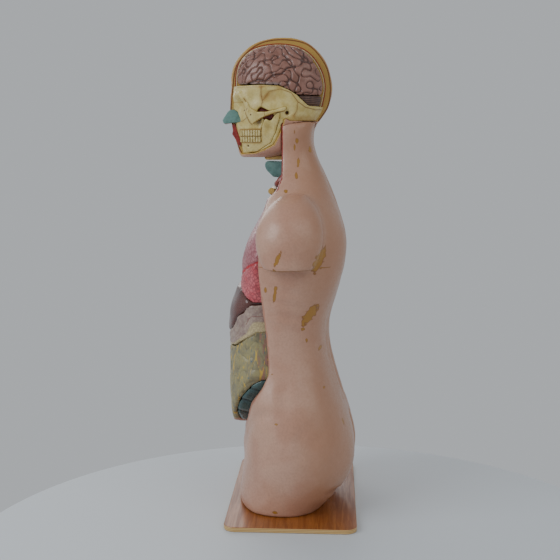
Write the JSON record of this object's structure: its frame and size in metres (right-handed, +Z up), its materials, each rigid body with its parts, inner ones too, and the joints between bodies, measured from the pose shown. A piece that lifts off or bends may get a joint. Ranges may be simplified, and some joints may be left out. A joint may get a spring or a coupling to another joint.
{
  "type": "anatomical torso model",
  "caption": "Hollow painted teaching torso and sectioned head on a wooden board, open in front, with lift-out lungs, heart, liver, stomach and bowel and a removable brain half.",
  "frame": {"origin": "centre of the wooden board's underside, on the table it stands on", "axes": "+Z is up and away from the board's underside, -Y is the way the figure faces, +X is the figure's own left"},
  "size_m": [0.4008, 0.2601, 0.9],
  "materials": {
    "board_wood": "varnished plywood",
    "plug_wood": "raw softwood",
    "steel": "zinc plated",
    "skin_paint": "oil-painted cast composition, chipped",
    "bone_paint": "oil paint",
    "tooth_paint": "gloss paint",
    "muscle_paint": "oil paint",
    "gristle_paint": "oil paint",
    "gland_paint": "oil paint",
    "cerebellum_paint": "oil paint",
    "brain_paint": "oil paint",
    "lung_paint": "mottled oil paint",
    "heart_paint": "oil paint",
    "liver_paint": "oil paint",
    "gall_paint": "oil paint",
    "stomach_paint": "oil paint",
    "omentum_paint": "oil paint with painted fat and vessels",
    "colon_paint": "oil paint",
    "bowel_paint": "oil paint",
    "bladder_paint": "oil paint",
    "spleen_paint": "oil paint",
    "artery_paint": "gloss paint",
    "vein_paint": "gloss paint",
    "fat_paint": "oil paint",
    "brass": "turned"
  },
  "bodies": {
    "torso": {"base_board": "board_wood", "board_screws": "steel", "footing_block": "plug_wood", "torso_shell": "skin_paint", "head_shell": "skin_paint", "diaphragm": "muscle_paint", "upper_teeth": "tooth_paint", "lower_teeth": "tooth_paint", "mandible": "bone_paint", "cheekbone_arch": "bone_paint", "jaw_muscle": "muscle_paint", "skull_half": "bone_paint", "nasal_cartilage": "gristle_paint", "lip_muscle": "muscle_paint", "cerebellum": "cerebellum_paint", "mediastinum": "muscle_paint", "neck_muscles": "muscle_paint", "trachea": "gristle_paint", "larynx": "gristle_paint", "hyoid_bone": "bone_paint", "thyroid_gland": "gland_paint", "aortic_arch": "artery_paint", "neck_arteries": "artery_paint", "neck_veins": "vein_paint", "collar_bones": "bone_paint", "pancreas": "fat_paint", "duodenum": "bowel_paint", "aorta": "artery_paint", "iliac_artery": "artery_paint", "vena_cava": "vein_paint", "kidneys": "gland_paint", "ureters": "fat_paint", "spleen": "spleen_paint", "rectum": "bowel_paint", "bladder": "bladder_paint"},
    "brain": {"brain_half": "brain_paint", "brain_pins": "brass"},
    "lung_left": {"lung_left": "lung_paint", "lung_left_pins": "brass"},
    "lung_right": {"lung_right": "lung_paint", "lung_right_pins": "brass"},
    "heart": {"heart_back": "heart_paint", "heart_pins": "brass"},
    "heart_cover": {"heart_front": "heart_paint", "heart_front_pins": "brass"},
    "liver": {"liver": "liver_paint", "gall_bladder": "gall_paint", "liver_pins": "brass"},
    "stomach": {"stomach": "stomach_paint", "stomach_pins": "brass"},
    "bowel": {"greater_omentum": "omentum_paint", "colon": "colon_paint", "small_bowel": "bowel_paint", "bowel_pins": "brass"}
  },
  "joints": [
    {"name": "brain_lift", "type": "slide", "parent": "torso", "child": "brain", "axis": [1, 0, 0], "range_m": [0, 0.11]},
    {"name": "lung_left_lift", "type": "slide", "parent": "torso", "child": "lung_left", "axis": [0, -1, 0], "range_m": [0, 0.24]},
    {"name": "lung_right_lift", "type": "slide", "parent": "torso", "child": "lung_right", "axis": [0, -1, 0], "range_m": [0, 0.24]},
    {"name": "heart_lift", "type": "slide", "parent": "torso", "child": "heart", "axis": [0, -1, 0], "range_m": [0, 0.24]},
    {"name": "liver_lift", "type": "slide", "parent": "torso", "child": "liver", "axis": [0, -1, 0], "range_m": [0, 0.24]},
    {"name": "stomach_lift", "type": "slide", "parent": "torso", "child": "stomach", "axis": [0, -1, 0], "range_m": [0, 0.24]},
    {"name": "bowel_lift", "type": "slide", "parent": "torso", "child": "bowel", "axis": [0, -1, 0], "range_m": [0, 0.24]},
    {"name": "heart_cover_lift", "type": "slide", "parent": "heart", "child": "heart_cover", "axis": [0, -1, 0], "range_m": [0, 0.1]}
  ]
}
